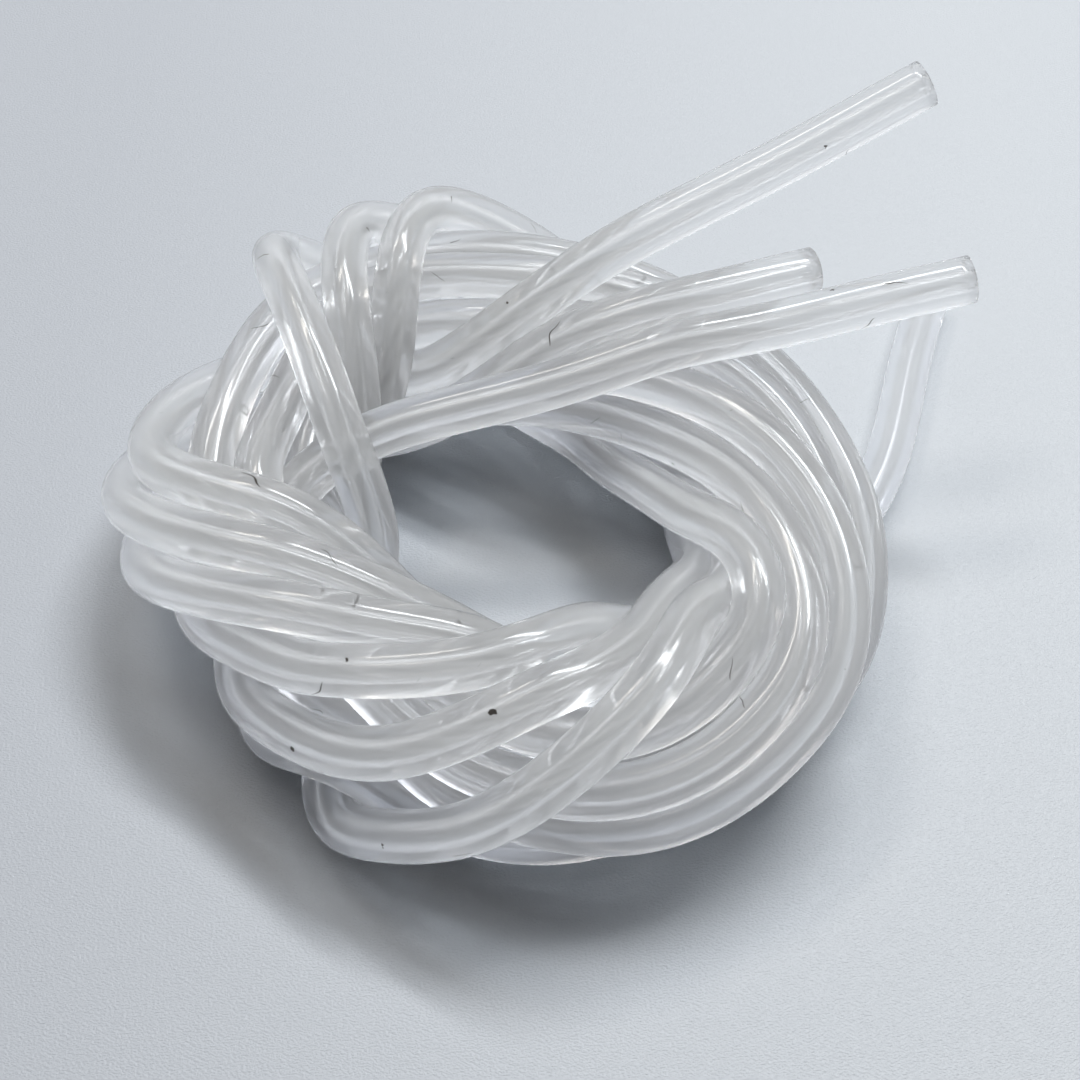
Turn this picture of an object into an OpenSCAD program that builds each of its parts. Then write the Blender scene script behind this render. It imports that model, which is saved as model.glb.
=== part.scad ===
// Coil of soft clear tubing: three tubes wound side by side into an oval wreath, twisted round the
// wreath's middle line as they go, with loose ends that rise over it and others that lie behind it.
// Lengths in the Hidden section are in tube diameters until the sweep, which turns them into mm.

/* [Tube] */
// Outside diameter of each tube, which the whole coil is sized by
tube_od = 3; // [2.4:0.1:4]
// Diameter of the bore through each tube
tube_bore = 1; // [0.6:0.1:1.6]
// Straight length at every cut end, with a true round wall and bore
end_len = 6; // [4:0.5:7]

/* [Wreath] */
// Half the long axis of the wreath's oval middle line, in tube diameters
ring_long = 6.2; // [5.8:0.1:7]
// Half the short axis of the middle line, in tube diameters
ring_short = 5; // [4.6:0.1:6]
// Height of the middle line above the floor, in tube diameters
ring_z = 2.2; // [2:0.1:2.6]
// Reach of the three raised ends, as a share of their full reach
end_reach = 1; // [0.6:0.05:1.15]

/* [Detail] */
// Sides of the tube's swept outline
sides = 8; // [6:2:10]
// Distance between sweep rings, in tube diameters
ring_gap = 1.25; // [1:0.05:1.6]

/* [Hidden] */
clear_silicone = [0.87, 0.90, 0.93, 0.55];
$fn = 48;

ring_mid = [-0.15, 0.7];      // middle of the oval
ring_turn = -50;              // turn of its long axis from +X
rest = 1.04;                  // distance at which two settled tubes lie side by side
pitch = 0.5;                  // distance between the points that settle
rounds = 5;                   // rounds of settling, each with a new list of neighbours
passes = 20;                  // passes in a round
watch = 1.4;                  // distance within which one point is another's neighbour
neck = [-2.5, 3, 3];          // where the raised ends leave the wreath
neck_len = 2;                 // how far from the neck their reach starts to change
cut = 1;                      // how far a cut runs past a face, in mm
slim = 0.95;                  // the sweep inside a straight end, as a share of the outside
wide_bore = 1.25;             // the sweep's bore inside a straight end, as a share of the bore
swept_bore = 1.12;            // the sweep's bore elsewhere, which a six-sided bore needs

// The route of the band of three tubes, turn after turn, in rows of angle round the wreath, angle round
// its middle line (0 outside, 90 on top, 180 in the hole, 270 underneath), distance from the middle
// line, distance between tubes, and how much further out the first and the last tube run.
FIRST_BAND = [
    // out from under the left-hand wraps and round the proud front-left loop
    [195, 294, 0.90, 1.06, 0.2, 0], [204, 314, 1.00, 1.10, 0.1, 0], [215, 334, 1.20, 1.35, 0, 0],
    [229, 356, 1.55, 1.60, 0.15, 0], [243, 375, 1.75, 1.65, 0.35, 0], [257, 397, 1.82, 1.50, 0.45, 0],
    [270, 424, 1.90, 1.25, 0.4, 0], [282, 448, 1.92, 1.08, 0.3, 0], [296, 471, 1.88, 1.06, 0.15, 0],
    // round the right-hand side and along the back
    [311, 493, 1.82, 1.06, 0, 0.15], [326, 516, 1.65, 1.06, -0.2, 0.25],
    [342, 543, 1.50, 1.06, -0.2, 0.2], [360, 571, 1.60, 1.06, 0, 0], [380, 597, 1.72, 1.06, 0, 0],
    [400, 620, 1.75, 1.06, 0, 0], [420, 645, 1.75, 1.12, 0, 0], [437, 672, 1.80, 1.30, 0, 0],
    [450, 702, 1.95, 1.50, 0, 0]];
// Between the two bands each tube goes its own way, up and over in a steep hump, as x, y, z
HUMPS = [
    [[-2.0, 8.0, 1.0], [-3.1, 8.3, 1.7], [-4.2, 7.9, 2.6], [-4.8, 7.2, 3.6], [-4.9, 6.2, 4.4],
     [-4.6, 5.1, 4.9], [-4.3, 4.1, 5.0], [-4.0, 3.2, 4.9], [-3.7, 2.4, 4.8], [-3.4, 1.5, 4.4],
     [-3.1, 0.8, 3.8], [-2.9, 0.3, 3.0], [-2.9, -0.1, 2.3], [-3.0, -0.7, 1.6], [-3.1, -1.5, 1.1]],
    [[-0.9, 8.5, 2.4], [-1.8, 8.5, 3.1], [-2.7, 7.9, 3.7], [-3.2, 7.0, 4.3], [-3.3, 6.0, 4.6],
     [-3.3, 5.0, 4.7], [-3.1, 4.0, 4.3], [-3.0, 3.2, 3.6], [-3.0, 2.6, 2.7], [-3.2, 2.3, 1.8],
     [-3.6, 1.9, 1.0], [-4.1, 1.2, 0.6], [-4.5, 0.2, 0.5], [-4.5, -0.8, 0.5], [-4.1, -1.9, 0.5]],
    [[-0.2, 8.3, 3.4], [-1.1, 8.1, 4.1], [-1.7, 7.2, 4.6], [-2.0, 6.2, 4.8], [-2.2, 5.2, 4.7],
     [-2.4, 4.4, 4.1], [-2.6, 3.8, 3.2], [-2.8, 3.4, 2.2], [-3.2, 3.1, 1.3], [-3.9, 2.8, 0.7],
     [-4.8, 2.1, 0.5], [-5.4, 1.0, 0.5], [-5.6, -0.3, 0.5], [-5.4, -1.5, 0.5], [-4.9, -2.6, 0.5]]];
SECOND_BAND = [
    // along the underside and out at the right
    [592, 990, 1.75, 1.06, 0, 0], [615, 994, 1.75, 1.06, 0, 0], [637, 998, 1.75, 1.06, 0, 0],
    [657, 1006, 1.75, 1.06, 0, -0.3], [676, 1026, 1.75, 1.06, 0, -0.55],
    [697, 1058, 1.75, 1.06, 0, -0.55], [718, 1090, 1.75, 1.06, 0, -0.35],
    [738, 1118, 1.75, 1.06, 0, -0.15], [756, 1141, 1.75, 1.06, 0, 0], [772, 1158, 1.75, 1.06, 0, 0],
    // along the back, over the top and into the core
    [790, 1172, 1.65, 1.06, 0, 0], [812, 1182, 1.60, 1.06, 0, 0], [836, 1192, 1.50, 1.06, 0, 0],
    [858, 1206, 1.45, 1.06, 0, 0], [880, 1214, 1.45, 1.06, 0, 0], [900, 1206, 1.30, 1.06, 0, 0],
    [920, 1188, 1.00, 1.06, 0, 0], [940, 1166, 0.80, 1.06, 0, 0], [960, 1140, 0.80, 1.06, 0, 0],
    [980, 1114, 1.05, 1.06, 0, 0], [998, 1100, 1.45, 1.06, 0, 0],
    // round the front right
    [1014, 1106, 1.75, 1.06, 0, 0], [1030, 1126, 1.75, 1.06, 0, 0], [1046, 1152, 1.75, 1.06, 0, 0],
    [1062, 1180, 1.75, 1.06, 0, 0], [1080, 1205, 1.75, 1.06, 0, 0], [1100, 1226, 1.75, 1.06, 0, 0],
    [1122, 1248, 1.75, 1.06, 0, 0], [1146, 1270, 1.75, 1.06, 0, 0], [1172, 1294, 1.75, 1.06, 0, 0],
    [1196, 1324, 1.75, 1.06, 0, 0], [1213, 1360, 1.75, 1.08, 0, 0],
    // the wide wraps at the left, and back into the core
    [1229, 1396, 1.95, 1.06, -0.2, -0.3], [1244, 1430, 2.15, 1.06, -0.4, -0.4],
    [1259, 1460, 2.20, 1.06, -0.45, -0.3], [1273, 1488, 2.15, 1.06, -0.45, -0.1],
    [1287, 1516, 2.05, 1.06, -0.35, 0], [1303, 1544, 1.95, 1.06, -0.15, 0],
    [1320, 1570, 1.75, 1.06, 0, 0], [1336, 1594, 1.65, 1.06, 0, 0], [1354, 1616, 1.40, 1.06, 0, 0],
    [1374, 1644, 1.00, 1.06, 0, 0], [1396, 1680, 0.70, 1.06, 0, 0]];

// The raised ends, from tip through the neck and into the first band, as x, y, z
RAISED = [
    [[9.6, 3.8, 5.5], [8.2, 3.6, 5.3], [6.8, 3.4, 5.1], [5.4, 3.1, 4.9], [4.0, 2.9, 4.7],
     [2.6, 2.6, 4.5], [1.2, 2.4, 4.2], [-0.2, 2.1, 4.0], [-1.6, 1.9, 3.7], [-2.6, 1.8, 3.5],
     [-3.4, 1.5, 3.2], [-4.1, 0.9, 2.8], [-4.5, 0.1, 2.4]],
    [[6.5, 4.6, 5.1], [5.2, 4.2, 5.1], [3.9, 3.9, 4.9], [2.5, 3.7, 4.7], [1.1, 3.5, 4.2],
     [-0.2, 3.4, 3.2], [-1.3, 3.5, 2.2], [-2.4, 3.8, 1.5], [-3.4, 3.8, 1.1], [-4.3, 3.3, 1.0],
     [-5.0, 2.4, 1.3], [-5.3, 1.2, 1.5]],
    [[8.8, 7.0, 8.0], [7.0, 6.4, 7.3], [5.2, 5.8, 6.6], [3.5, 5.3, 6.0], [1.9, 4.8, 5.3],
     [0.6, 4.5, 4.4], [-0.5, 4.5, 3.4], [-1.5, 4.7, 2.5], [-2.6, 5.0, 1.8], [-3.8, 4.9, 1.5],
     [-4.9, 4.2, 1.4], [-5.7, 3.1, 1.4], [-6.2, 1.9, 1.5], [-6.4, 0.8, 1.8]]];
// The other ends: one stays in the core, two come out and lie on the floor behind, as x, y, z
TAIL = [
    [[5.1, -1.8, 2.3], [5.2, -0.2, 2.1], [5.0, 1.2, 1.9], [4.5, 2.5, 1.8], [3.9, 3.6, 1.8],
     [3.2, 4.5, 1.8], [2.3, 5.2, 1.9], [1.2, 5.8, 2.0]],
    [[5.2, -1.8, 1.3], [5.7, -0.1, 1.1], [5.7, 1.3, 0.9], [5.6, 2.7, 0.6], [5.9, 4.0, 0.5],
     [6.1, 5.4, 0.5], [6.0, 6.8, 0.5], [5.6, 8.1, 0.5]],
    [[6.1, -2.0, 1.4], [6.4, -0.8, 1.0], [6.8, 0.4, 0.6], [7.5, 1.5, 0.5], [8.3, 2.8, 0.5],
     [8.9, 4.3, 0.5], [9.4, 5.9, 0.5], [9.9, 7.4, 0.5], [10.5, 8.9, 0.5]]];

function unit(v) = v / norm(v);
function total(v) = len(v) == 0 ? [0, 0, 0] : [for (x = v) 1] * v;

// Smooth curve through the rows of P, n steps to each gap
function smooth(P, n) =
    let (m = len(P), Q = concat([2*P[0] - P[1]], P, [2*P[m - 1] - P[m - 2]]))
    [for (i = [0:m - 2]) for (k = [0:n - 1]) let (t = k/n)
        (2*Q[i + 1] + t*(Q[i + 2] - Q[i]) + t*t*(2*Q[i] - 5*Q[i + 1] + 4*Q[i + 2] - Q[i + 3])
         + t*t*t*(3*Q[i + 1] - Q[i] - 3*Q[i + 2] + Q[i + 3]))/2,
     P[m - 1]];

// Distance along P at each of its points
function along(P) = [for (i = 0, s = 0; i < len(P); i = i + 1,
    s = s + (i < len(P) ? norm(P[i] - P[i - 1]) : 0)) s];
// Points on P at the distances in at
function points_at(P, at) =
    let (s = along(P), tab = [for (k = [0:2]) [for (i = [0:len(P) - 1]) [s[i], P[i][k]]]])
    [for (u = at) [for (k = [0:2]) lookup(u, tab[k])]];
function even(P, gap) =
    let (s = along(P), L = s[len(P) - 1], n = round(L/gap)) points_at(P, [for (i = [0:n]) L*i/n]);

// Point of the oval middle line at angle a, and the outward direction there
function oval_t(a) = atan2(sin(a - ring_turn)/ring_short, cos(a - ring_turn)/ring_long);
function turned(v) = [v.x*cos(ring_turn) - v.y*sin(ring_turn), v.x*sin(ring_turn) + v.y*cos(ring_turn), 0];
function middle(a) = let (t = oval_t(a))
    turned([ring_long*cos(t), ring_short*sin(t)]) + [ring_mid.x, ring_mid.y, ring_z];
function outward(a) = let (t = oval_t(a)) unit(turned([ring_short*cos(t), ring_long*sin(t)]));
function round_ring(a, b, r) = middle(a) + outward(a)*r*cos(b) + [0, 0, r*sin(b)];

// One tube of the band: side -1, 0 or 1
function wound(side, band) =
    let (C = smooth(band, 2), n = len(C))
    [for (i = [0:n - 1])
        let (c = C[i], lo = max(i - 1, 0), hi = min(i + 1, n - 1), m = middle(c[0]),
             R = norm([m.x - ring_mid.x, m.y - ring_mid.y]) + c[2]*cos(c[1]),
             da = (C[hi][0] - C[lo][0])*R, db = (C[hi][1] - C[lo][1])*c[2], L = norm([da, db]),
             r = c[2] + (side < 0 ? c[4] : side > 0 ? c[5] : 0),
             spread = 2*asin(min(c[3]/(2*c[2]), 0.999)))
        round_ring(c[0] - side*(c[3]/R)*(180/PI)*db/L, c[1] + side*spread*da/L, r)];

function tube_start(i) = concat(
    [for (p = RAISED[i]) neck + (p - neck)*(p.x > neck.x + neck_len ? end_reach : 1)],
    wound(i - 1, FIRST_BAND), HUMPS[i], wound(i - 1, SECOND_BAND), TAIL[i]);

// Settling: tubes that overlap push each other apart, while each keeps its length and its stiffness
START = [for (i = [0:2]) even(smooth(tube_start(i), 4), pitch)];
COUNT = [for (P = START) len(P)];
FIRST = [0, COUNT[0], COUNT[0] + COUNT[1]];
GAP = [for (P = START) norm(P[1] - P[0])];
HOME = [for (P = START) for (p = P) p];
columns = ceil(2*(ring_long + 9)/watch);
function cell_of(p) = floor(p.x/watch + columns/2) + columns*floor(p.y/watch + columns/2);
function neighbours(P) =
    let (keys = [for (p = P) [cell_of(p)]], cells = search([for (k = [0:columns*columns - 1]) k], keys, 0))
    [for (t = [0:2]) for (k = [0:COUNT[t] - 1]) let (i = FIRST[t] + k, p = P[i])
        [for (u = [-1:1]) for (v = [-1:1]) for (j = cells[keys[i][0] + u + columns*v])
            if (norm(P[j] - p) < watch && (j < FIRST[t] || j >= FIRST[t] + COUNT[t] || abs(j - i) > 4)) j]];
function stretch(v, gap) = v*(norm(v) - gap)/norm(v)*0.15;
function settle_once(P, near) =
    [for (t = [0:2]) for (k = [0:COUNT[t] - 1])
        let (i = FIRST[t] + k, p = P[i], last = COUNT[t] - 1, push = total([for (j = near[i])
                 let (v = p - P[j], d = norm(v)) if (d < rest) v*(rest - d)/d])/4,
             pull = (k < last ? stretch(P[i + 1] - p, GAP[t]) : [0, 0, 0])
                  + (k > 0 ? stretch(P[i - 1] - p, GAP[t]) : [0, 0, 0]),
             bend = k < 2 || k > last - 2 ? [0, 0, 0]
                  : (4*(P[i - 1] + P[i + 1]) - P[i - 2] - P[i + 2] - 6*p)/20,
             q = p + push + pull + bend + (HOME[i] - p)*0.004)
        [q.x, q.y, max(q.z, 0.5)]];
function settle(P, near, n) = n < 1 ? P : settle(settle_once(P, near), near, n - 1);
function settled(P, n) = n < 1 ? P : settled(settle(P, neighbours(P), passes), n - 1);
LAID = settled(HOME, rounds);
low = [for (k = [0:1]) min([for (p = LAID) p[k]])];
high = [for (k = [0:1]) max([for (p = LAID) p[k]])];
centre = [(low.x + high.x)/2, (low.y + high.y)/2, 0];
ROUTE = [for (t = [0:2]) [for (k = [0:COUNT[t] - 1]) tube_od*(LAID[FIRST[t] + k] - centre)]];

// Sweep of a ring with n corners and radius rad[i] round each point of P
function ahead(P, i) = unit(P[min(i + 1, len(P) - 1)] - P[max(i - 1, 0)]);
function level(v, t) = unit(v - t*(v*t));
function frames(P) = [for (i = 0, v = level([0.3, 0.2, 1], ahead(P, 0)); i < len(P);
    i = i + 1, v = i < len(P) ? level(v, ahead(P, i)) : v) v];
function rings(P, rad, n) = let (V = frames(P))
    [for (i = [0:len(P) - 1]) let (t = ahead(P, i), w = cross(t, V[i]))
        for (k = [0:n - 1]) P[i] + rad[i]*(V[i]*cos(360*k/n) + w*sin(360*k/n))];
function skin(m, n, at, out) = [for (i = [0:m - 2]) for (k = [0:n - 1])
    let (a = at + i*n + k, b = at + i*n + (k + 1)%n, c = b + n, d = a + n)
    for (f = [[a, b, c], [a, c, d]]) out ? [f[2], f[1], f[0]] : f];
module swept_tube(P, outer, inner) {
    m = len(P);
    holes = 6;
    a = rings(P, outer, sides);
    b = rings(P, inner, holes);
    nb = m*sides;
    polyhedron(concat(a, b), concat(
        skin(m, sides, 0, true), skin(m, holes, nb, false),
        end_ring(0, nb, sides, holes, false),
        end_ring((m - 1)*sides, nb + (m - 1)*holes, sides, holes, true)), convexity = 20);
}
// Flat end between an outer ring of n corners and an inner ring of h corners
function end_ring(a, b, n, h, far) =
    [for (f = concat(
        [for (k = [0:n - 1]) [a + k, a + (k + 1)%n, b + round((k + 0.5)*h/n)%h]],
        [for (k = [0:h - 1]) [b + (k + 1)%h, b + k, a + ceil((k + 0.5)*n/h - 0.5)%n]]))
        far ? [f[2], f[1], f[0]] : f];

// Straight end with a true round wall and bore, from its face p along direction v into the tube
module cut_end(p, v) {
    translate(p) multmatrix(facing(v)) difference() {
        cylinder(h = end_len, r = tube_od/2);
        translate([0, 0, -cut]) cylinder(h = end_len + 2*cut, r = tube_bore/2);
    }
}
function facing(v) = let (x = level(abs(v.z) < 0.9 ? [0, 0, 1] : [1, 0, 0], v), y = cross(v, x))
    [[x.x, y.x, v.x, 0], [x.y, y.y, v.y, 0], [x.z, y.z, v.z, 0], [0, 0, 0, 1]];

module tube(i) {
    P = ROUTE[i];
    s = along(P);
    L = s[len(P) - 1];
    step = ring_gap*tube_od;
    n = round((L - 2*end_len - 2*step)/step);
    mid = points_at(P, [for (k = [0:n]) end_len + step/2 + (L - 2*end_len - step)*k/n]);
    tip = [P[0], P[len(P) - 1]];
    seat = points_at(P, [end_len, L - end_len]);
    into = [unit(seat[0] - tip[0]), unit(seat[1] - tip[1])];
    root = [tip[0] + into[0]*end_len, tip[1] + into[1]*end_len];
    path = concat([root[0] - into[0]*tube_od/3, root[0]], mid, [root[1], root[1] - into[1]*tube_od/3]);
    m = len(path);
    outer = [for (k = [0:m - 1]) tube_od/2*(k < 2 || k > m - 3 ? slim : 1)];
    inner = [for (k = [0:m - 1]) tube_bore/2*(k < 2 || k > m - 3 ? wide_bore : swept_bore)];
    union() {
        swept_tube(path, outer, inner);
        cut_end(tip[0], into[0]);
        cut_end(tip[1], into[1]);
    }
}

module tube_a() color(clear_silicone) tube(0);
module tube_b() color(clear_silicone) tube(1);
module tube_c() color(clear_silicone) tube(2);

tube_a();
tube_b();
tube_c();
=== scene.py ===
"""Three soft clear silicone tubes, wound side by side into a loose twisted wreath with free ends."""

import math

import bpy
import numpy as np
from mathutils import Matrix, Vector


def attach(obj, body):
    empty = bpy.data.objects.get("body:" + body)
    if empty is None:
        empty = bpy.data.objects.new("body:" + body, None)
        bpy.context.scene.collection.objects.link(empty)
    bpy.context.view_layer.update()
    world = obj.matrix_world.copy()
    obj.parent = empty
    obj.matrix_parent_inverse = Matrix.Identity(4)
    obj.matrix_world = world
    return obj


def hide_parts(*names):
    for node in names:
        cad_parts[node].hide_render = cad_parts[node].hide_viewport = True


bl_info = {
    "name": "Silicone tubing coil",
    "version": (1, 0, 0),
    "blender": (4, 5, 0),
    "location": "3D View > Sidebar > Tubing coil",
    "description": "Builds a wound coil of clear laboratory tubing over its frame",
    "category": "Object",
}

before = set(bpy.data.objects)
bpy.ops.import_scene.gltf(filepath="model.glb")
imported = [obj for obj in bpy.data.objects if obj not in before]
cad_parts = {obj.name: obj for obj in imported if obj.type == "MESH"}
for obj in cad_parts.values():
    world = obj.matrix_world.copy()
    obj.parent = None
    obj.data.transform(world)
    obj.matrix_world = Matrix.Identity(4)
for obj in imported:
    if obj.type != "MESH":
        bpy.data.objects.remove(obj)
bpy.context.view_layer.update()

SILICONE_IOR = 1.41
MILK_SHARE = 0.2  # share of the light that spreads in the wall, and isn't passed straight on
DEEP = 4.5  # a ray that has met more walls than this sees no further
ROOM_DIM = 0.06

# Lamps as name, colour, place and size in metres, and power in watts. All aim at the coil: a long window at
# the back right makes most of the shadow, a warm one at the back left and a ceiling patch fill it.
LAMPS = (
    ("window", "#F8FCFF", (0.135, 0.2, 0.46), (0.28, 0.04), 2.05),
    ("side", "#FFF8EE", (-0.14, 0.22, 0.46), (0.14, 0.04), 0.42),
    ("ceiling", "#FFFFFF", (-0.17, 0.02, 0.46), (0.15, 0.15), 0.2),
)

# The camera: degrees over the floor, the point it stands back from and how far, and how far to the right
# of that point and below it it aims, in metres
CAMERA_TILT = 50
CAMERA_FOCUS = (-0.00397, -0.00268, 0.0066)
CAMERA_AWAY, CAMERA_PAN, CAMERA_DIP = 0.108, 0.00202, 0.0003

# The route, as the CAD source has it, in tube diameters. A band of three tubes goes round in rows of angle
# round the wreath, angle round its middle line (0 outside, 90 on top, 180 in the hole, 270 underneath),
# distance from the middle line, distance between tubes, and how much further out the first and the
# last tube run.
FIRST_BAND = (
    # out from under the left-hand wraps and round the proud front-left loop
    (195, 294, 0.90, 1.06, 0.2, 0), (204, 314, 1.00, 1.10, 0.1, 0), (215, 334, 1.20, 1.35, 0, 0),
    (229, 356, 1.55, 1.60, 0.15, 0), (243, 375, 1.75, 1.65, 0.35, 0), (257, 397, 1.82, 1.50, 0.45, 0),
    (270, 424, 1.90, 1.25, 0.4, 0), (282, 448, 1.92, 1.08, 0.3, 0), (296, 471, 1.88, 1.06, 0.15, 0),
    # round the right-hand side and along the back
    (311, 493, 1.82, 1.06, 0, 0.15), (326, 516, 1.65, 1.06, -0.2, 0.25),
    (342, 543, 1.50, 1.06, -0.2, 0.2), (360, 571, 1.60, 1.06, 0, 0), (380, 597, 1.72, 1.06, 0, 0),
    (400, 620, 1.75, 1.06, 0, 0), (420, 645, 1.75, 1.12, 0, 0), (437, 672, 1.80, 1.30, 0, 0),
    (450, 702, 1.95, 1.50, 0, 0),
)
# Between the two bands each tube goes its own way, up and over in a steep hump, as x, y, z
HUMPS = (
    ((-2.0, 8.0, 1.0), (-3.1, 8.3, 1.7), (-4.2, 7.9, 2.6), (-4.8, 7.2, 3.6), (-4.9, 6.2, 4.4),
     (-4.6, 5.1, 4.9), (-4.3, 4.1, 5.0), (-4.0, 3.2, 4.9), (-3.7, 2.4, 4.8), (-3.4, 1.5, 4.4),
     (-3.1, 0.8, 3.8), (-2.9, 0.3, 3.0), (-2.9, -0.1, 2.3), (-3.0, -0.7, 1.6), (-3.1, -1.5, 1.1)),
    ((-0.9, 8.5, 2.4), (-1.8, 8.5, 3.1), (-2.7, 7.9, 3.7), (-3.2, 7.0, 4.3), (-3.3, 6.0, 4.6),
     (-3.3, 5.0, 4.7), (-3.1, 4.0, 4.3), (-3.0, 3.2, 3.6), (-3.0, 2.6, 2.7), (-3.2, 2.3, 1.8),
     (-3.6, 1.9, 1.0), (-4.1, 1.2, 0.6), (-4.5, 0.2, 0.5), (-4.5, -0.8, 0.5), (-4.1, -1.9, 0.5)),
    ((-0.2, 8.3, 3.4), (-1.1, 8.1, 4.1), (-1.7, 7.2, 4.6), (-2.0, 6.2, 4.8), (-2.2, 5.2, 4.7),
     (-2.4, 4.4, 4.1), (-2.6, 3.8, 3.2), (-2.8, 3.4, 2.2), (-3.2, 3.1, 1.3), (-3.9, 2.8, 0.7),
     (-4.8, 2.1, 0.5), (-5.4, 1.0, 0.5), (-5.6, -0.3, 0.5), (-5.4, -1.5, 0.5), (-4.9, -2.6, 0.5)),
)
SECOND_BAND = (
    # along the underside and out at the right
    (592, 990, 1.75, 1.06, 0, 0), (615, 994, 1.75, 1.06, 0, 0), (637, 998, 1.75, 1.06, 0, 0),
    (657, 1006, 1.75, 1.06, 0, -0.3), (676, 1026, 1.75, 1.06, 0, -0.55),
    (697, 1058, 1.75, 1.06, 0, -0.55), (718, 1090, 1.75, 1.06, 0, -0.35),
    (738, 1118, 1.75, 1.06, 0, -0.15), (756, 1141, 1.75, 1.06, 0, 0), (772, 1158, 1.75, 1.06, 0, 0),
    # along the back, over the top and into the core
    (790, 1172, 1.65, 1.06, 0, 0), (812, 1182, 1.60, 1.06, 0, 0), (836, 1192, 1.50, 1.06, 0, 0),
    (858, 1206, 1.45, 1.06, 0, 0), (880, 1214, 1.45, 1.06, 0, 0), (900, 1206, 1.30, 1.06, 0, 0),
    (920, 1188, 1.00, 1.06, 0, 0), (940, 1166, 0.80, 1.06, 0, 0), (960, 1140, 0.80, 1.06, 0, 0),
    (980, 1114, 1.05, 1.06, 0, 0), (998, 1100, 1.45, 1.06, 0, 0),
    # round the front right
    (1014, 1106, 1.75, 1.06, 0, 0), (1030, 1126, 1.75, 1.06, 0, 0), (1046, 1152, 1.75, 1.06, 0, 0),
    (1062, 1180, 1.75, 1.06, 0, 0), (1080, 1205, 1.75, 1.06, 0, 0), (1100, 1226, 1.75, 1.06, 0, 0),
    (1122, 1248, 1.75, 1.06, 0, 0), (1146, 1270, 1.75, 1.06, 0, 0), (1172, 1294, 1.75, 1.06, 0, 0),
    (1196, 1324, 1.75, 1.06, 0, 0), (1213, 1360, 1.75, 1.08, 0, 0),
    # the wide wraps at the left, and back into the core
    (1229, 1396, 1.95, 1.06, -0.2, -0.3), (1244, 1430, 2.15, 1.06, -0.4, -0.4),
    (1259, 1460, 2.20, 1.06, -0.45, -0.3), (1273, 1488, 2.15, 1.06, -0.45, -0.1),
    (1287, 1516, 2.05, 1.06, -0.35, 0), (1303, 1544, 1.95, 1.06, -0.15, 0),
    (1320, 1570, 1.75, 1.06, 0, 0), (1336, 1594, 1.65, 1.06, 0, 0), (1354, 1616, 1.40, 1.06, 0, 0),
    (1374, 1644, 1.00, 1.06, 0, 0), (1396, 1680, 0.70, 1.06, 0, 0),
)
# The raised ends, from tip into the first band, and the other ends after the second, as x, y, z
RAISED = (
    ((9.6, 3.8, 5.5), (8.2, 3.6, 5.3), (6.8, 3.4, 5.1), (5.4, 3.1, 4.9), (4.0, 2.9, 4.7),
     (2.6, 2.6, 4.5), (1.2, 2.4, 4.2), (-0.2, 2.1, 4.0), (-1.6, 1.9, 3.7), (-2.6, 1.8, 3.5),
     (-3.4, 1.5, 3.2), (-4.1, 0.9, 2.8), (-4.5, 0.1, 2.4)),
    ((6.5, 4.6, 5.1), (5.2, 4.2, 5.1), (3.9, 3.9, 4.9), (2.5, 3.7, 4.7), (1.1, 3.5, 4.2),
     (-0.2, 3.4, 3.2), (-1.3, 3.5, 2.2), (-2.4, 3.8, 1.5), (-3.4, 3.8, 1.1), (-4.3, 3.3, 1.0),
     (-5.0, 2.4, 1.3), (-5.3, 1.2, 1.5)),
    ((8.8, 7.0, 8.0), (7.0, 6.4, 7.3), (5.2, 5.8, 6.6), (3.5, 5.3, 6.0), (1.9, 4.8, 5.3),
     (0.6, 4.5, 4.4), (-0.5, 4.5, 3.4), (-1.5, 4.7, 2.5), (-2.6, 5.0, 1.8), (-3.8, 4.9, 1.5),
     (-4.9, 4.2, 1.4), (-5.7, 3.1, 1.4), (-6.2, 1.9, 1.5), (-6.4, 0.8, 1.8)),
)
TAIL = (
    ((5.1, -1.8, 2.3), (5.2, -0.2, 2.1), (5.0, 1.2, 1.9), (4.5, 2.5, 1.8), (3.9, 3.6, 1.8),
     (3.2, 4.5, 1.8), (2.3, 5.2, 1.9), (1.2, 5.8, 2.0)),
    ((5.2, -1.8, 1.3), (5.7, -0.1, 1.1), (5.7, 1.3, 0.9), (5.6, 2.7, 0.6), (5.9, 4.0, 0.5),
     (6.1, 5.4, 0.5), (6.0, 6.8, 0.5), (5.6, 8.1, 0.5)),
    ((6.1, -2.0, 1.4), (6.4, -0.8, 1.0), (6.8, 0.4, 0.6), (7.5, 1.5, 0.5), (8.3, 2.8, 0.5),
     (8.9, 4.3, 0.5), (9.4, 5.9, 0.5), (9.9, 7.4, 0.5), (10.5, 8.9, 0.5)),
)
# The wreath's oval middle line: half its length and width, its height, its centre, and its turn in degrees
RING_LONG, RING_SHORT, RING_Z = 6.2, 5.0, 2.2
RING_MID = (-0.15, 0.7)
RING_TURN = -50
# The settling: distance at which two settled tubes lie side by side, distance between the points that
# settle, rounds, and passes in a round
REST, PITCH, ROUNDS, PASSES = 1.04, 0.5, 5, 20
# Points within WATCH of each other push each other apart, but not the next OWN points of a tube
WATCH, OWN = 1.4, 4
# What one pass does: share of the way back to the drawn route, share of the way back to even spacing,
# and the parts into which the push and the straightening are split
HOME, SPACING, PUSH_PARTS, STRAIGHT_PARTS = 0.004, 0.15, 4, 20
FLOOR_Z = 0.5  # a middle line lies at least its tube's radius over the floor


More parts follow.
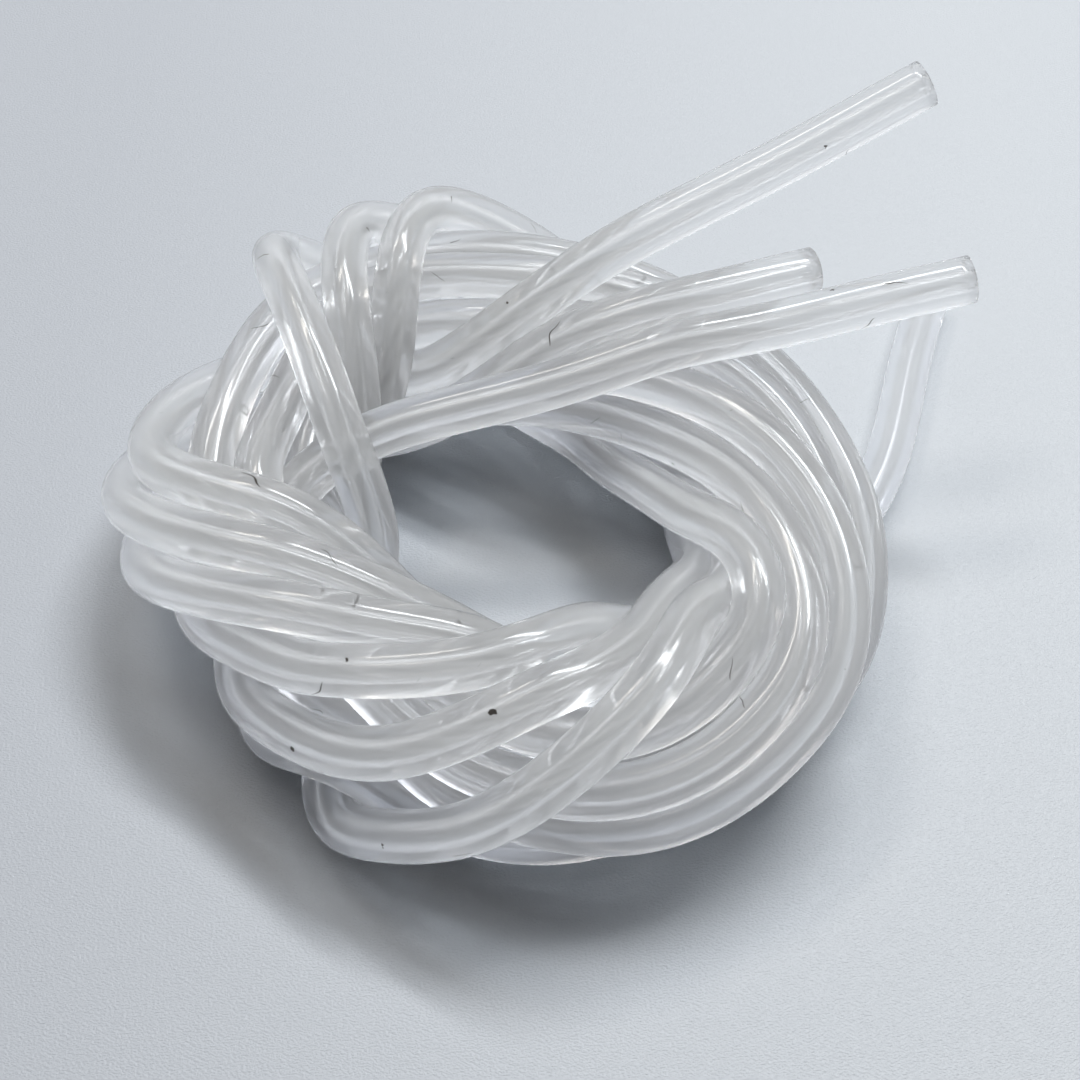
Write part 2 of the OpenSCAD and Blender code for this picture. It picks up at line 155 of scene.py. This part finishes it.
def smooth_rows(rows, n):
    """Smooth curve through rows, n steps to each gap."""
    rows = np.asarray(rows, float)
    q = np.vstack([2 * rows[0] - rows[1], rows, 2 * rows[-1] - rows[-2]])
    out = []
    for i in range(len(rows) - 1):
        a, b, c, d = q[i : i + 4]
        for k in range(n):
            t = k / n
            line = 2 * b + t * (c - a)
            curve = t * t * (2 * a - 5 * b + 4 * c - d)
            out.append((line + curve + t**3 * (3 * b - a - 3 * c + d)) / 2)
    out.append(rows[-1])
    return np.array(out)


def along(points):
    """Distance along the points at each of them."""
    return np.r_[0, np.cumsum(np.linalg.norm(np.diff(points, axis=0), axis=1))]


def even(points, gap):
    """The same line with its points spaced evenly, about gap apart."""
    s = along(points)
    at = np.linspace(0, s[-1], int(round(s[-1] / gap)) + 1)
    return np.stack([np.interp(at, s, points[:, k]) for k in range(3)], 1)


def round_ring(a, b, r):
    """Points at angle a round the wreath, angle b round its middle line and distance r from it."""
    a, b = np.radians(a), np.radians(b)
    turn = math.radians(RING_TURN)
    t = np.arctan2(np.sin(a - turn) / RING_SHORT, np.cos(a - turn) / RING_LONG)
    cos, sin = math.cos(turn), math.sin(turn)
    x, y = RING_LONG * np.cos(t), RING_SHORT * np.sin(t)
    u, v = RING_SHORT * np.cos(t), RING_LONG * np.sin(t)
    length = np.hypot(u, v)
    u, v = u / length, v / length
    mid = np.stack([x * cos - y * sin + RING_MID[0], x * sin + y * cos + RING_MID[1], RING_Z + 0 * x], -1)
    out = np.stack([u * cos - v * sin, u * sin + v * cos, 0 * u], -1)
    up = np.array([0, 0, 1.0])
    return mid + out * (r * np.cos(b))[:, None] + up * (r * np.sin(b))[:, None]


def wound(side, band):
    """The route of one tube of a band: the first, middle or last, for a side of -1, 0 or 1."""
    a, b, r, c, first, last = smooth_rows(band, 2).T
    mid = round_ring(a, b, 0 * r)
    reach = np.hypot(mid[:, 0] - RING_MID[0], mid[:, 1] - RING_MID[1]) + r * np.cos(np.radians(b))
    turns = [np.r_[x[1:], x[-1]] - np.r_[x[0], x[:-1]] for x in (a, b)]
    da, db = turns[0] * reach, turns[1] * r
    length = np.hypot(da, db)
    # The angle from tube to tube, under a half turn even where the band closes in on its middle line
    spread = 2 * np.degrees(np.arcsin(np.minimum(c / (2 * r), 0.999)))
    more = first if side < 0 else last if side > 0 else 0
    return round_ring(
        a - side * np.degrees(c / reach) * db / length, b + side * spread * da / length, r + more
    )


def settled():
    """The three routes in tube diameters, after tubes that overlap have pushed each other apart."""
    start = []
    for i in range(3):
        bands = [wound(i - 1, band) for band in (FIRST_BAND, SECOND_BAND)]
        rows = np.vstack([RAISED[i], bands[0], HUMPS[i], bands[1], TAIL[i]])
        start.append(even(smooth_rows(rows, 4), PITCH))
    first = np.cumsum([0] + [len(p) for p in start])
    own = np.repeat(range(3), [len(p) for p in start])
    index = np.arange(first[-1])
    home = np.vstack(start)
    gaps = [np.linalg.norm(p[1] - p[0]) for p in start]
    points = home.copy()
    for _ in range(ROUNDS):
        apart = np.linalg.norm(points[:, None] - points[None], axis=2)
        near = (apart < WATCH) & ((own[:, None] != own) | (abs(index[:, None] - index) > OWN))
        one, two = np.nonzero(np.triu(near))
        for _ in range(PASSES):
            line = points[two] - points[one]
            gap = np.linalg.norm(line, axis=1)
            push = line * (np.maximum(REST - gap, 0) / gap / PUSH_PARTS)[:, None]
            move = (home - points) * HOME
            np.add.at(move, one, -push)
            np.add.at(move, two, push)
            for i in range(3):
                part = slice(first[i], first[i + 1])
                p, m = points[part], move[part]
                step = p[1:] - p[:-1]
                size = np.linalg.norm(step, axis=1)
                pull = step * ((size - gaps[i]) / size * SPACING)[:, None]
                m[:-1] += pull
                m[1:] -= pull
                m[2:-2] -= (p[:-4] - 4 * p[1:-3] + 6 * p[2:-2] - 4 * p[3:-1] + p[4:]) / STRAIGHT_PARTS
            points = points + move
            points[:, 2] = np.maximum(points[:, 2], FLOOR_Z)
    # The origin is on the floor under the middle of the coil
    low, high = points.min(0), points.max(0)
    points = points - [(low[0] + high[0]) / 2, (low[1] + high[1]) / 2, 0]
    return [points[first[i] : first[i + 1]] for i in range(3)]


def linear(hex_colour):
    """An sRGB hex colour as the linear colour that Blender's sockets hold."""
    parts = [int(hex_colour[i : i + 2], 16) / 255 for i in (1, 3, 5)]
    return [c / 12.92 if c <= 0.04045 else ((c + 0.055) / 1.055) ** 2.4 for c in parts] + [1.0]


def add_node(tree, kind, settings=None, links=None):
    """Adds a node, sets its inputs or properties by name, and links its inputs from other sockets."""
    node = tree.nodes.new(kind)
    for name, value in (settings or {}).items():
        if isinstance(name, int) or name in node.inputs:
            node.inputs[name].default_value = value
        else:
            setattr(node, name, value)
    for name, socket in (links or {}).items():
        tree.links.new(socket, node.inputs[name])
    return node


class CoilSizes(bpy.types.PropertyGroup):
    """Sizes of the tubing."""

    tube_od: bpy.props.FloatProperty(
        name="Outside",
        description="Outside diameter of the tubing",
        default=0.003,
        unit="LENGTH",
        precision=4,
    )
    tube_bore: bpy.props.FloatProperty(
        name="Bore",
        description="Diameter of the bore",
        default=0.001,
        unit="LENGTH",
        precision=4,
    )
    sides: bpy.props.IntProperty(name="Sides", description="Sides of the outside wall", default=32)
    bore_sides: bpy.props.IntProperty(name="Bore sides", description="Sides of the bore", default=16)


class CoilColours(bpy.types.PropertyGroup):
    """Colours of the tubing and of the stage."""

    silicone: bpy.props.StringProperty(
        name="Silicone", description="Tint of the clear tubing", default="#FEFEFD"
    )
    milk: bpy.props.StringProperty(
        name="Milk", description="Tint of the light that spreads in the wall", default="#FAFCFF"
    )
    shade: bpy.props.StringProperty(
        name="Shade", description="Lamp light that a wall lets through to the floor", default="#DADBDC"
    )
    depths: bpy.props.StringProperty(
        name="Depths", description="Lamp light that a wall lets through to other tubes", default="#F6F6F7"
    )
    plain: bpy.props.StringProperty(
        name="Plain", description="A wall as the floor and the deepest tubes see it", default="#BEBDBB"
    )
    dust: bpy.props.StringProperty(
        name="Dust", description="Specks and fibres on the tubing", default="#504C49"
    )
    # Painted light and shade: the floor is painted a little lighter at its right and darker at its left,
    # standing in for how the lamps' light falls across it
    floor: bpy.props.StringProperty(
        name="Floor", description="The card floor at its right", default="#D8DCE1"
    )
    floor_left_painted_shade: bpy.props.StringProperty(
        name="Floor left", description="The card floor at its left", default="#C6CAD1"
    )
    room: bpy.props.StringProperty(
        name="Room", description="The weak light of the room from all sides", default="#F0ECE8"
    )
    room_seen: bpy.props.StringProperty(
        name="Room seen", description="The room as gloss and clear walls show it", default="#E9ECF0"
    )


def dust_share(tree):
    """1 where a speck of dust or a short fibre clings to the tubing, and 0 elsewhere.

    Patterns lie on the unrolled wall, in metres, so a scale of 1000 has one cell to the millimetre.
    """
    wall = add_node(tree, "ShaderNodeTexCoord").outputs["UV"]
    # A speck about every 11 mm, most of them under 0.2 mm across, made ragged by a grain of 0.3 mm
    ragged = add_node(tree, "ShaderNodeTexNoise", {"Scale": 3500.0, "Detail": 1.0}, {"Vector": wall})
    shifted = add_node(
        tree,
        "ShaderNodeVectorMath",
        {"operation": "MULTIPLY_ADD", 1: (0.0005, 0.0005, 0.0)},
        {0: ragged.outputs["Color"], 2: wall},
    )
    cells = add_node(
        tree,
        "ShaderNodeTexVoronoi",
        {"voronoi_dimensions": "2D", "Scale": 90.0},
        {"Vector": shifted.outputs[0]},
    )
    spread = add_node(
        tree, "ShaderNodeMath", {"operation": "POWER", 1: 2.0}, {0: cells.outputs["Color"]}
    )
    reach = add_node(
        tree,
        "ShaderNodeMath",
        {"operation": "DIVIDE"},
        {0: cells.outputs["Distance"], 1: spread.outputs[0]},
    )
    share = add_node(
        tree, "ShaderNodeMath", {"operation": "LESS_THAN", 1: 0.022}, {0: reach.outputs[0]}
    ).outputs[0]
    # Fibres that lie two ways, up to 2 mm long and 0.09 mm thick, curled by a wave of 1.1 mm
    bends = add_node(tree, "ShaderNodeTexNoise", {"Scale": 900.0, "Detail": 0.0}, {"Vector": wall})
    bent = add_node(
        tree,
        "ShaderNodeVectorMath",
        {"operation": "MULTIPLY_ADD", 1: (0.001, 0.001, 0.0)},
        {0: bends.outputs["Color"], 2: wall},
    )
    for turn in (25, -50):
        turned = add_node(
            tree,
            "ShaderNodeMapping",
            {
                "vector_type": "TEXTURE",
                "Rotation": (0, 0, math.radians(turn)),
                "Scale": (26.0, 1.0, 1.0),
            },
            {"Vector": bent.outputs[0]},
        )
        strands = add_node(
            tree,
            "ShaderNodeTexVoronoi",
            {"voronoi_dimensions": "2D", "Scale": 440.0},
            {"Vector": turned.outputs[0]},
        )
        reach = add_node(
            tree,
            "ShaderNodeMath",
            {"operation": "DIVIDE"},
            {0: strands.outputs["Distance"], 1: strands.outputs["Color"]},
        )
        fibre = add_node(
            tree, "ShaderNodeMath", {"operation": "LESS_THAN", 1: 0.019}, {0: reach.outputs[0]}
        )
        share = add_node(
            tree, "ShaderNodeMath", {"operation": "MAXIMUM"}, {0: share, 1: fibre.outputs[0]}
        ).outputs[0]
    return share


def silicone_material(name, colours, roughness, clear):
    """Platinum-cured silicone, extruded: milky clear and soft to the eye, with a quiet gloss."""
    mat = bpy.data.materials.new(name)
    mat.use_nodes = True
    tree = mat.node_tree
    tree.nodes.clear()
    shader = add_node(
        tree,
        "ShaderNodeBsdfPrincipled",
        {
            "Base Color": linear(colours.silicone),
            "Roughness": roughness,
            "IOR": SILICONE_IOR,
            "Transmission Weight": clear,
        },
    )
    milk = add_node(tree, "ShaderNodeBsdfTranslucent", {"Color": linear(colours.milk)})
    milky = add_node(
        tree, "ShaderNodeMixShader", {0: MILK_SHARE}, {1: shader.outputs[0], 2: milk.outputs[0]}
    )
    dust = add_node(tree, "ShaderNodeBsdfDiffuse", {"Color": linear(colours.dust)})
    dusty = add_node(
        tree, "ShaderNodeMixShader", links={0: dust_share(tree), 1: milky.outputs[0], 2: dust.outputs[0]}
    )
    rays = add_node(tree, "ShaderNodeLightPath")
    # What the floor sees of the tubes, and what lies very deep in them, is a plain pale wall
    plain = add_node(tree, "ShaderNodeBsdfDiffuse", {"Color": linear(colours.plain)})
    deep = add_node(
        tree, "ShaderNodeMath", {"operation": "GREATER_THAN", 1: DEEP}, {0: rays.outputs["Ray Depth"]}
    )
    onward = add_node(
        tree,
        "ShaderNodeMath",
        {"operation": "ADD", "use_clamp": True},
        {0: rays.outputs["Diffuse Depth"], 1: deep.outputs[0]},
    )
    solid = add_node(
        tree, "ShaderNodeMixShader", links={0: onward.outputs[0], 1: dusty.outputs[0], 2: plain.outputs[0]}
    )
    # Lamps reach what lies beneath a wall, weaker on the floor than inside the tubes
    within = add_node(
        tree, "ShaderNodeMath", {"operation": "MINIMUM", 1: 1.0}, {0: rays.outputs["Transmission Depth"]}
    )
    passed = add_node(
        tree,
        "ShaderNodeMix",
        {"data_type": "RGBA", 6: linear(colours.shade), 7: linear(colours.depths)},
        {0: within.outputs[0]},
    )
    through = add_node(tree, "ShaderNodeBsdfTransparent", links={"Color": passed.outputs[2]})
    whole = add_node(
        tree,
        "ShaderNodeMixShader",
        links={0: rays.outputs["Is Shadow Ray"], 1: solid.outputs[0], 2: through.outputs[0]},
    )
    add_node(tree, "ShaderNodeOutputMaterial", links={"Surface": whole.outputs[0]})
    return mat


def floor_material(colours):
    """Satin-white coated card with a fine slanting tooth, with painted light and shade that make it a
    little darker to the left.
    """
    mat = bpy.data.materials.new("floor_card")
    mat.use_nodes = True
    tree = mat.node_tree
    tree.nodes.clear()
    here = add_node(tree, "ShaderNodeTexCoord").outputs["Object"]
    # The tooth: a grain of 0.2 mm, drawn as coarse as it needs to show, longer along its slant than across
    slant = add_node(
        tree,
        "ShaderNodeMapping",
        {"Rotation": (0, 0, math.radians(-48)), "Scale": (1.0, 1.6, 1.0)},
        {"Vector": here},
    )
    tooth = add_node(
        tree,
        "ShaderNodeTexNoise",
        {"Scale": 5200.0, "Detail": 2.0, "Roughness": 0.6},
        {"Vector": slant.outputs[0]},
    )
    # Painted light and shade: the card's colour runs from the darker left tone to the lighter right one
    # over the 70 mm round the coil, standing in for how the light falls across the floor
    across = add_node(tree, "ShaderNodeSeparateXYZ", links={"Vector": here})
    side = add_node(
        tree, "ShaderNodeMapRange", {"From Min": -0.035, "From Max": 0.035}, {"Value": across.outputs["X"]}
    )
    card_with_painted_shade = add_node(
        tree,
        "ShaderNodeMix",
        {"data_type": "RGBA", 6: linear(colours.floor_left_painted_shade), 7: linear(colours.floor)},
        {0: side.outputs[0]},
    )
    bump = add_node(
        tree, "ShaderNodeBump", {"Strength": 0.8, "Distance": 0.00008}, {"Height": tooth.outputs["Fac"]}
    )
    shader = add_node(
        tree,
        "ShaderNodeBsdfPrincipled",
        {"Roughness": 0.4},
        {"Base Color": card_with_painted_shade.outputs[2], "Normal": bump.outputs[0]},
    )
    add_node(tree, "ShaderNodeOutputMaterial", links={"Surface": shader.outputs[0]})
    return mat


def tube_piece(name, route, sizes, materials, start):
    """A hollow tube of full roundness along the route, in metres, with flat cut ends.

    Its outside wall is laid out flat, in metres, from start on. The bore and the ends, which hold
    no dust, all lie at one clean spot.
    """
    path = smooth_rows(route, 2)
    n, h, m = sizes.sides, sizes.bore_sides, len(path)
    ahead = np.gradient(path, axis=0)
    ahead /= np.linalg.norm(ahead, axis=1)[:, None]
    side = np.cross(ahead[0], [0.2, 0.3, 1.0])  # any direction that isn't the tube's own
    verts, inner = [], []
    for k in range(m):
        side = side - ahead[k] * side.dot(ahead[k])
        side /= np.linalg.norm(side)
        up = np.cross(ahead[k], side)
        for count, radius, ring in ((n, sizes.tube_od / 2, verts), (h, sizes.tube_bore / 2, inner)):
            angle = 2 * np.pi * np.arange(count) / count
            ring.append(path[k] + radius * (np.cos(angle)[:, None] * side + np.sin(angle)[:, None] * up))
    points = np.vstack(verts + inner)
    bore = m * n
    u, v = start + along(path), np.pi * sizes.tube_od * np.arange(n + 1) / n
    faces, layout = [], []
    for k in range(m - 1):
        for j in range(n):
            a, b = k * n + j, k * n + (j + 1) % n
            faces.append((a, b, b + n, a + n))
            layout += [u[k], v[j], u[k], v[j + 1], u[k + 1], v[j + 1], u[k + 1], v[j]]
        for j in range(h):
            a, b = bore + k * h + j, bore + k * h + (j + 1) % h
            faces.append((a, a + h, b + h, b))
            layout += [0.0] * 8
    walls = len(faces)
    for k, flip in ((0, False), (m - 1, True)):
        step = n // h
        for j in range(h):
            a, b = bore + k * h + j, bore + k * h + (j + 1) % h
            face = [a, *(k * n + (j * step + q) % n for q in range(step + 1)), b]
            faces.append(face if flip else face[::-1])
            layout += [0.0] * 2 * len(face)
    mesh = bpy.data.meshes.new(name)
    mesh.from_pydata([tuple(p) for p in points], [], faces)
    for mat in materials:
        mesh.materials.append(mat)
    smooth = [i < walls for i in range(len(faces))]
    mesh.polygons.foreach_set("use_smooth", smooth)
    mesh.polygons.foreach_set("material_index", [int(not wall) for wall in smooth])
    mesh.uv_layers.new(name="wall").data.foreach_set("uv", layout)
    mesh.update()
    piece = bpy.data.objects.new(name, mesh)
    bpy.context.scene.collection.objects.link(piece)
    return piece, path


class OBJECT_OT_coil_tubes(bpy.types.Operator):
    """Sweep the three hollow tubes along their settled routes"""

    bl_idname = "object.coil_tubes"
    bl_label = "Tubes"

    def execute(self, context):
        sizes, colours = context.scene.coil_sizes, context.scene.coil_colours
        clear = silicone_material("clear_silicone", colours, roughness=0.13, clear=0.9)
        # A blade leaves the ends duller and whiter than the extruded wall
        cut = silicone_material("cut_silicone", colours, roughness=0.5, clear=0.4)
        for i, (node, route) in enumerate(zip(("tube_a", "tube_b", "tube_c"), settled())):
            # Each wall starts a metre on from the last one, so no two tubes carry the same dust
            piece, path = tube_piece(
                "silicone_" + node, route * sizes.tube_od, sizes, [clear, cut], start=i + 1.0
            )
            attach(piece, "root")
            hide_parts(node)
        return {"FINISHED"}


class OBJECT_OT_coil_stage(bpy.types.Operator):
    """Add the floor, the lamps and the world"""

    bl_idname = "object.coil_stage"
    bl_label = "Stage"

    def execute(self, context):
        colours = context.scene.coil_colours
        bpy.ops.mesh.primitive_plane_add(size=4)
        floor = context.object
        floor.name = "floor"
        floor.data.materials.append(floor_material(colours))
        for name, tint, place, size, power in LAMPS:
            lamp = bpy.data.lights.new(name, "AREA")
            lamp.shape = "RECTANGLE"
            lamp.size, lamp.size_y = size
            lamp.energy = power
            lamp.color = linear(tint)[:3]
            obj = bpy.data.objects.new(name, lamp)
            obj.location = place
            obj.rotation_euler = (-Vector(place)).to_track_quat("-Z", "Y").to_euler()
            context.scene.collection.objects.link(obj)
        world = bpy.data.worlds.new("studio")
        world.use_nodes = True
        tree = world.node_tree
        tree.nodes.clear()
        # The pale room shows to the eye, in the gloss and through clear walls, but lights nothing: a matt
        # surface, and all that is seen by way of one, gets only its dim light
        rays = add_node(tree, "ShaderNodeLightPath")
        seen = rays.outputs["Is Camera Ray"]
        for name in ("Is Glossy Ray", "Transmission Depth"):
            seen = add_node(
                tree,
                "ShaderNodeMath",
                {"operation": "MAXIMUM", "use_clamp": True},
                {0: seen, 1: rays.outputs[name]},
            ).outputs[0]
        first = add_node(
            tree, "ShaderNodeMath", {"operation": "LESS_THAN", 1: 0.5}, {0: rays.outputs["Diffuse Depth"]}
        )
        seen = add_node(
            tree, "ShaderNodeMath", {"operation": "MULTIPLY"}, {0: seen, 1: first.outputs[0]}
        ).outputs[0]
        dim = add_node(
            tree, "ShaderNodeBackground", {"Color": linear(colours.room), "Strength": ROOM_DIM}
        )
        wall = add_node(
            tree, "ShaderNodeBackground", {"Color": linear(colours.room_seen), "Strength": 1.0}
        )
        both = add_node(
            tree, "ShaderNodeMixShader", links={0: seen, 1: dim.outputs[0], 2: wall.outputs[0]}
        )
        add_node(tree, "ShaderNodeOutputWorld", links={"Surface": both.outputs[0]})
        context.scene.world = world
        context.scene.view_settings.view_transform = "Standard"
        return {"FINISHED"}


class OBJECT_OT_coil_camera(bpy.types.Operator):
    """Add the camera"""

    bl_idname = "object.coil_camera"
    bl_label = "Camera"

    def execute(self, context):
        tilt = math.radians(CAMERA_TILT)
        back = Vector((0, -math.cos(tilt), math.sin(tilt)))
        up = Vector((0, math.sin(tilt), math.cos(tilt)))
        data = bpy.data.cameras.new("camera")
        data.sensor_width = 36
        data.lens = 58.8
        data.clip_start = 0.001
        camera = bpy.data.objects.new("camera", data)
        focus = Vector(CAMERA_FOCUS)
        camera.location = focus + back * CAMERA_AWAY
        aim = focus + Vector((CAMERA_PAN, 0, 0)) - up * CAMERA_DIP
        camera.rotation_euler = (aim - camera.location).to_track_quat("-Z", "Y").to_euler()
        context.scene.collection.objects.link(camera)
        context.scene.camera = camera
        return {"FINISHED"}


class VIEW3D_PT_coil(bpy.types.Panel):
    """Tubing coil"""

    bl_label = "Tubing coil"
    bl_space_type = "VIEW_3D"
    bl_region_type = "UI"
    bl_category = "Tubing coil"

    def draw(self, context):
        for group in (context.scene.coil_sizes, context.scene.coil_colours):
            for key in group.__annotations__:
                self.layout.prop(group, key)
        for cls in OPERATORS:
            self.layout.operator(cls.bl_idname)


OPERATORS = (OBJECT_OT_coil_camera, OBJECT_OT_coil_tubes, OBJECT_OT_coil_stage)
CLASSES = (CoilSizes, CoilColours, *OPERATORS, VIEW3D_PT_coil)


def register():
    for cls in CLASSES:
        bpy.utils.register_class(cls)
    bpy.types.Scene.coil_sizes = bpy.props.PointerProperty(type=CoilSizes)
    bpy.types.Scene.coil_colours = bpy.props.PointerProperty(type=CoilColours)


def unregister():
    del bpy.types.Scene.coil_colours
    del bpy.types.Scene.coil_sizes
    for cls in reversed(CLASSES):
        bpy.utils.unregister_class(cls)


def main():
    register()
    bpy.ops.object.coil_camera()
    bpy.ops.object.coil_tubes()
    bpy.ops.object.coil_stage()


if __name__ == "__main__":
    main()
